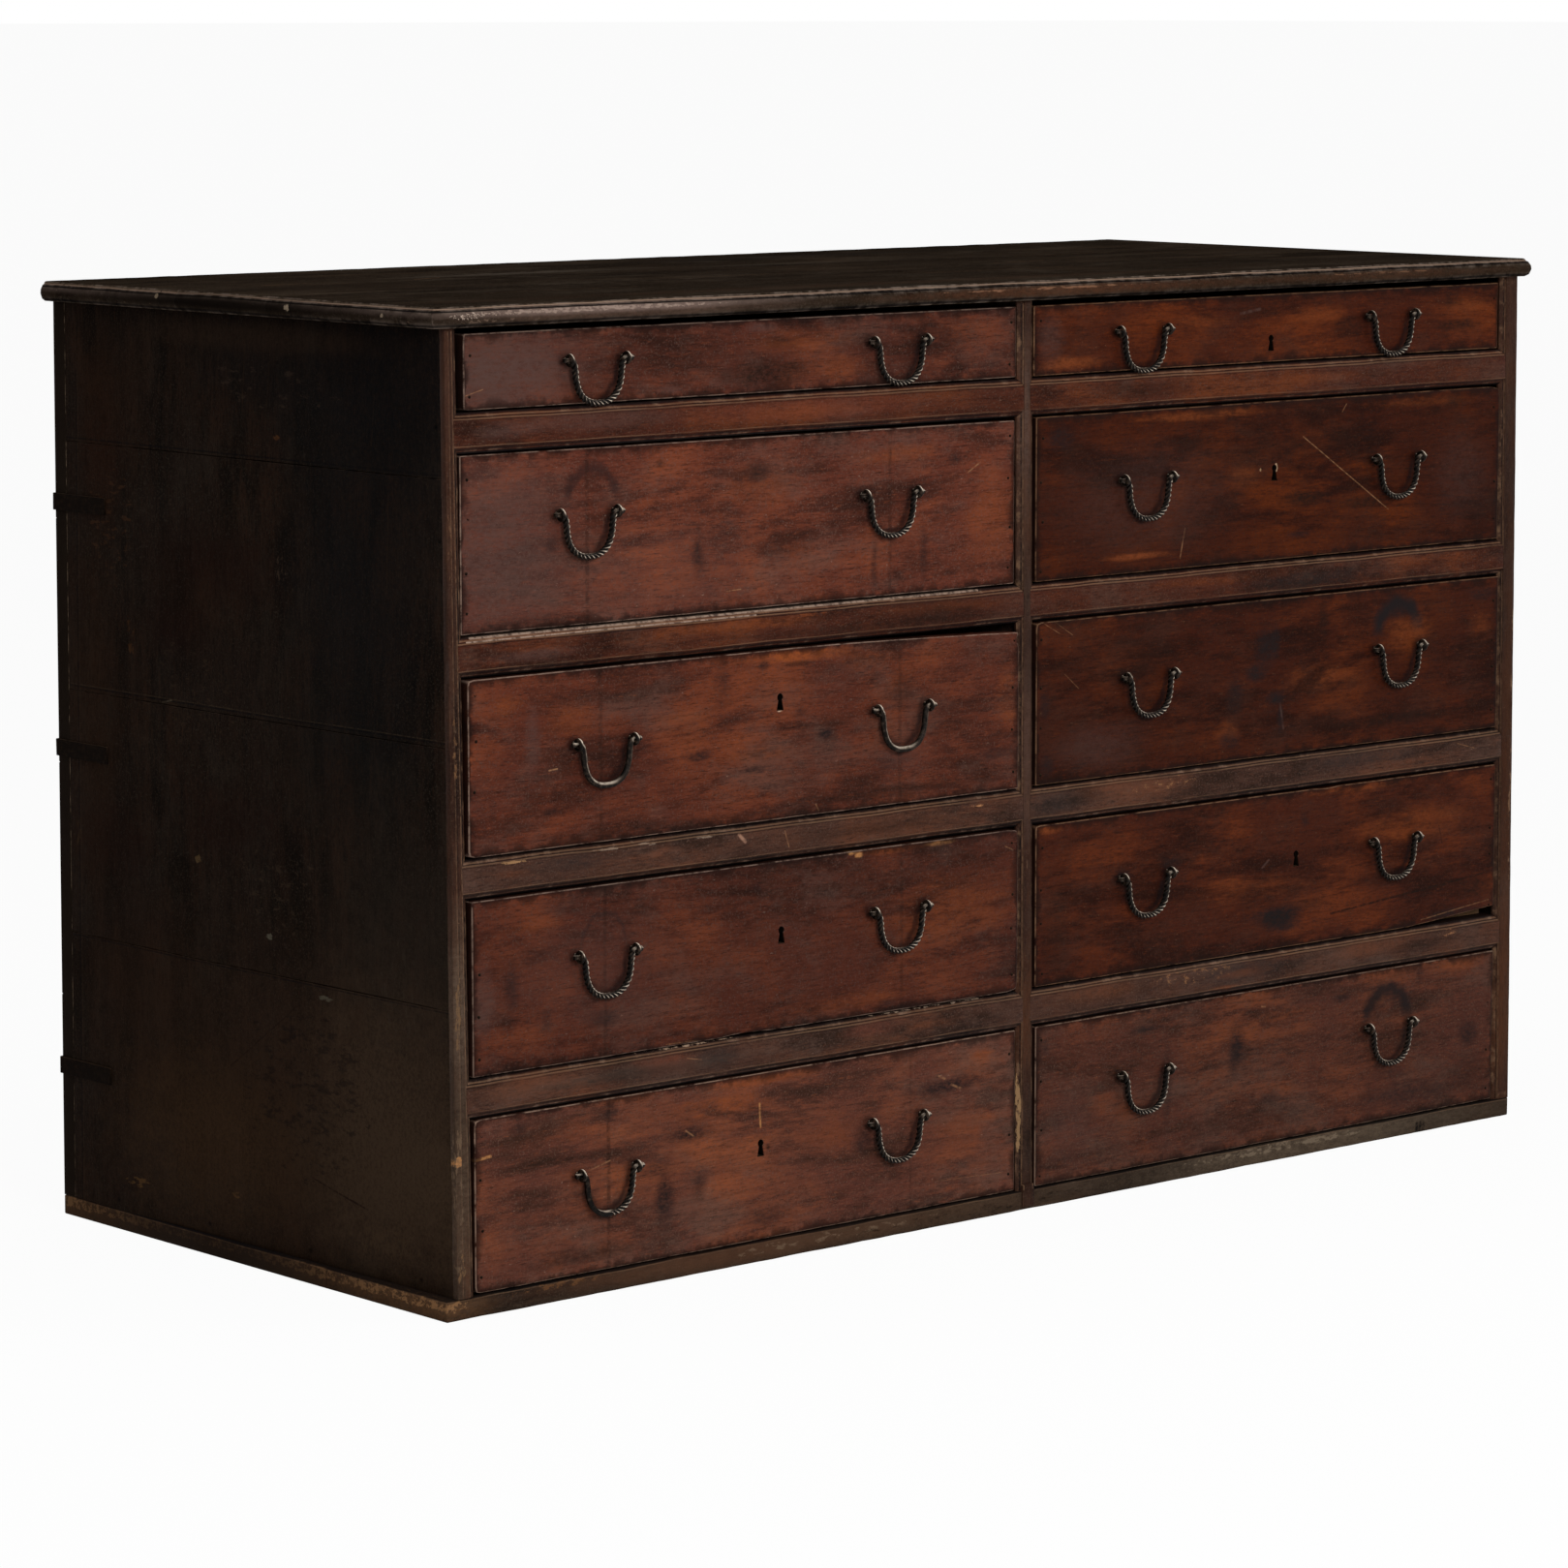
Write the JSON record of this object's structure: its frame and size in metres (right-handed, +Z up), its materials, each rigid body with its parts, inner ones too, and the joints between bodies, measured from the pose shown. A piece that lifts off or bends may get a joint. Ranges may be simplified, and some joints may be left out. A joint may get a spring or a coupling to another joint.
{
  "type": "chest of drawers",
  "caption": "Low wide chest of drawers in two columns, with moulded rails, twisted iron bail handles and a moulded plank top.",
  "frame": {"origin": "middle of the whole object's box, at the floor", "axes": "+Z up, +X to the right of someone who faces the drawers, -Y towards that person, the way that the drawers open"},
  "size_m": [1.686, 0.7286, 1.06],
  "materials": {
    "front_wood": "red-brown walnut or chestnut, old wax, worn and stained",
    "facing_wood": "darker red-brown, old wax, rubbed edges",
    "case_wood": "nearly black old paint or stain on boards, dull",
    "top_wood": "grey-brown worn planks",
    "box_wood": "bare softwood, darkened with age",
    "iron": "blackened wrought iron with rubbed highlights"
  },
  "bodies": {
    "case": {"bottom_board": "case_wood", "left_side_panel": "case_wood", "right_side_panel": "case_wood", "back_panel": "case_wood", "top_plank_front": "top_wood", "top_plank_middle": "top_wood", "top_plank_back": "top_wood", "left_stile": "facing_wood", "right_stile": "facing_wood", "centre_partition": "facing_wood", "divider_1": "facing_wood", "divider_2": "facing_wood", "divider_3": "facing_wood", "divider_4": "facing_wood", "left_corner_strap_1": "iron", "left_corner_strap_2": "iron", "left_corner_strap_3": "iron", "right_corner_strap_1": "iron", "right_corner_strap_2": "iron", "right_corner_strap_3": "iron"},
    "left_drawer_1": {"left_drawer_1_front": "front_wood", "left_drawer_1_box": "box_wood"},
    "left_drawer_1_bail_a": {"left_drawer_1_bail_a": "iron"},
    "left_drawer_1_bail_b": {"left_drawer_1_bail_b": "iron"},
    "left_drawer_2": {"left_drawer_2_front": "front_wood", "left_drawer_2_box": "box_wood"},
    "left_drawer_2_bail_a": {"left_drawer_2_bail_a": "iron"},
    "left_drawer_2_bail_b": {"left_drawer_2_bail_b": "iron"},
    "left_drawer_3": {"left_drawer_3_front": "front_wood", "left_drawer_3_box": "box_wood"},
    "left_drawer_3_bail_a": {"left_drawer_3_bail_a": "iron"},
    "left_drawer_3_bail_b": {"left_drawer_3_bail_b": "iron"},
    "left_drawer_4": {"left_drawer_4_front": "front_wood", "left_drawer_4_box": "box_wood"},
    "left_drawer_4_bail_a": {"left_drawer_4_bail_a": "iron"},
    "left_drawer_4_bail_b": {"left_drawer_4_bail_b": "iron"},
    "left_drawer_5": {"left_drawer_5_front": "front_wood", "left_drawer_5_box": "box_wood"},
    "left_drawer_5_bail_a": {"left_drawer_5_bail_a": "iron"},
    "left_drawer_5_bail_b": {"left_drawer_5_bail_b": "iron"},
    "right_drawer_1": {"right_drawer_1_front": "front_wood", "right_drawer_1_box": "box_wood"},
    "right_drawer_1_bail_a": {"right_drawer_1_bail_a": "iron"},
    "right_drawer_1_bail_b": {"right_drawer_1_bail_b": "iron"},
    "right_drawer_2": {"right_drawer_2_front": "front_wood", "right_drawer_2_box": "box_wood"},
    "right_drawer_2_bail_a": {"right_drawer_2_bail_a": "iron"},
    "right_drawer_2_bail_b": {"right_drawer_2_bail_b": "iron"},
    "right_drawer_3": {"right_drawer_3_front": "front_wood", "right_drawer_3_box": "box_wood"},
    "right_drawer_3_bail_a": {"right_drawer_3_bail_a": "iron"},
    "right_drawer_3_bail_b": {"right_drawer_3_bail_b": "iron"},
    "right_drawer_4": {"right_drawer_4_front": "front_wood", "right_drawer_4_box": "box_wood"},
    "right_drawer_4_bail_a": {"right_drawer_4_bail_a": "iron"},
    "right_drawer_4_bail_b": {"right_drawer_4_bail_b": "iron"},
    "right_drawer_5": {"right_drawer_5_front": "front_wood", "right_drawer_5_box": "box_wood"},
    "right_drawer_5_bail_a": {"right_drawer_5_bail_a": "iron"},
    "right_drawer_5_bail_b": {"right_drawer_5_bail_b": "iron"}
  },
  "joints": [
    {"name": "left_drawer_1_slide", "type": "slide", "parent": "case", "child": "left_drawer_1", "axis": [0, -1, 0], "range_m": [0, 0.5]},
    {"name": "left_drawer_1_bail_a_hinge", "type": "hinge", "parent": "left_drawer_1", "child": "left_drawer_1_bail_a", "pos_m": [-0.61376, -0.35205, 0.99861], "axis": [-1, 0, 0], "range_deg": [-5, 150]},
    {"name": "left_drawer_1_bail_b_hinge", "type": "hinge", "parent": "left_drawer_1", "child": "left_drawer_1_bail_b", "pos_m": [-0.18466, -0.35205, 1.00019], "axis": [-1, 0, 0], "range_deg": [-5, 150]},
    {"name": "left_drawer_2_slide", "type": "slide", "parent": "case", "child": "left_drawer_2", "axis": [0, -1, 0], "range_m": [0, 0.5]},
    {"name": "left_drawer_2_bail_a_hinge", "type": "hinge", "parent": "left_drawer_2", "child": "left_drawer_2_bail_a", "pos_m": [-0.625, -0.35005, 0.83792], "axis": [-1, 0, 0], "range_deg": [-5, 180]},
    {"name": "left_drawer_2_bail_b_hinge", "type": "hinge", "parent": "left_drawer_2", "child": "left_drawer_2_bail_b", "pos_m": [-0.19556, -0.35005, 0.83309], "axis": [-1, 0, 0], "range_deg": [-5, 180]},
    {"name": "left_drawer_3_slide", "type": "slide", "parent": "case", "child": "left_drawer_3", "axis": [0, -1, 0], "range_m": [0, 0.5]},
    {"name": "left_drawer_3_bail_a_hinge", "type": "hinge", "parent": "left_drawer_3", "child": "left_drawer_3_bail_a", "pos_m": [-0.60939, -0.35755, 0.59551], "axis": [-1, 0, 0], "range_deg": [-5, 180]},
    {"name": "left_drawer_3_bail_b_hinge", "type": "hinge", "parent": "left_drawer_3", "child": "left_drawer_3_bail_b", "pos_m": [-0.18365, -0.35755, 0.59588], "axis": [-1, 0, 0], "range_deg": [-5, 180]},
    {"name": "left_drawer_4_slide", "type": "slide", "parent": "case", "child": "left_drawer_4", "axis": [0, -1, 0], "range_m": [0, 0.5]},
    {"name": "left_drawer_4_bail_a_hinge", "type": "hinge", "parent": "left_drawer_4", "child": "left_drawer_4_bail_a", "pos_m": [-0.60805, -0.35705, 0.36946], "axis": [-1, 0, 0], "range_deg": [-5, 180]},
    {"name": "left_drawer_4_bail_b_hinge", "type": "hinge", "parent": "left_drawer_4", "child": "left_drawer_4_bail_b", "pos_m": [-0.18677, -0.35705, 0.37058], "axis": [-1, 0, 0], "range_deg": [-5, 180]},
    {"name": "left_drawer_5_slide", "type": "slide", "parent": "case", "child": "left_drawer_5", "axis": [0, -1, 0], "range_m": [0, 0.5]},
    {"name": "left_drawer_5_bail_a_hinge", "type": "hinge", "parent": "left_drawer_5", "child": "left_drawer_5_bail_a", "pos_m": [-0.60379, -0.35305, 0.133], "axis": [-1, 0, 0], "range_deg": [-5, 180]},
    {"name": "left_drawer_5_bail_b_hinge", "type": "hinge", "parent": "left_drawer_5", "child": "left_drawer_5_bail_b", "pos_m": [-0.18512, -0.35305, 0.13244], "axis": [-1, 0, 0], "range_deg": [-5, 180]},
    {"name": "right_drawer_1_slide", "type": "slide", "parent": "case", "child": "right_drawer_1", "axis": [0, -1, 0], "range_m": [0, 0.5]},
    {"name": "right_drawer_1_bail_a_hinge", "type": "hinge", "parent": "right_drawer_1", "child": "right_drawer_1_bail_a", "pos_m": [0.19053, -0.35305, 0.99743], "axis": [-1, 0, 0], "range_deg": [-5, 150]},
    {"name": "right_drawer_1_bail_b_hinge", "type": "hinge", "parent": "right_drawer_1", "child": "right_drawer_1_bail_b", "pos_m": [0.60727, -0.35305, 0.9994], "axis": [-1, 0, 0], "range_deg": [-5, 150]},
    {"name": "right_drawer_2_slide", "type": "slide", "parent": "case", "child": "right_drawer_2", "axis": [0, -1, 0], "range_m": [0, 0.5]},
    {"name": "right_drawer_2_bail_a_hinge", "type": "hinge", "parent": "right_drawer_2", "child": "right_drawer_2_bail_a", "pos_m": [0.19759, -0.35505, 0.82788], "axis": [-1, 0, 0], "range_deg": [-5, 180]},
    {"name": "right_drawer_2_bail_b_hinge", "type": "hinge", "parent": "right_drawer_2", "child": "right_drawer_2_bail_b", "pos_m": [0.61906, -0.35505, 0.829], "axis": [-1, 0, 0], "range_deg": [-5, 180]},
    {"name": "right_drawer_3_slide", "type": "slide", "parent": "case", "child": "right_drawer_3", "axis": [0, -1, 0], "range_m": [0, 0.5]},
    {"name": "right_drawer_3_bail_a_hinge", "type": "hinge", "parent": "right_drawer_3", "child": "right_drawer_3_bail_a", "pos_m": [0.20314, -0.35605, 0.60053], "axis": [-1, 0, 0], "range_deg": [-5, 180]},
    {"name": "right_drawer_3_bail_b_hinge", "type": "hinge", "parent": "right_drawer_3", "child": "right_drawer_3_bail_b", "pos_m": [0.62595, -0.35605, 0.60109], "axis": [-1, 0, 0], "range_deg": [-5, 180]},
    {"name": "right_drawer_4_slide", "type": "slide", "parent": "case", "child": "right_drawer_4", "axis": [0, -1, 0], "range_m": [0, 0.5]},
    {"name": "right_drawer_4_bail_a_hinge", "type": "hinge", "parent": "right_drawer_4", "child": "right_drawer_4_bail_a", "pos_m": [0.20196, -0.35505, 0.3676], "axis": [-1, 0, 0], "range_deg": [-5, 180]},
    {"name": "right_drawer_4_bail_b_hinge", "type": "hinge", "parent": "right_drawer_4", "child": "right_drawer_4_bail_b", "pos_m": [0.62435, -0.35505, 0.3676], "axis": [-1, 0, 0], "range_deg": [-5, 180]},
    {"name": "right_drawer_5_slide", "type": "slide", "parent": "case", "child": "right_drawer_5", "axis": [0, -1, 0], "range_m": [0, 0.5]},
    {"name": "right_drawer_5_bail_a_hinge", "type": "hinge", "parent": "right_drawer_5", "child": "right_drawer_5_bail_a", "pos_m": [0.2036, -0.35405, 0.13597], "axis": [-1, 0, 0], "range_deg": [-5, 180]},
    {"name": "right_drawer_5_bail_b_hinge", "type": "hinge", "parent": "right_drawer_5", "child": "right_drawer_5_bail_b", "pos_m": [0.6221, -0.35405, 0.14044], "axis": [-1, 0, 0], "range_deg": [-5, 180]}
  ]
}
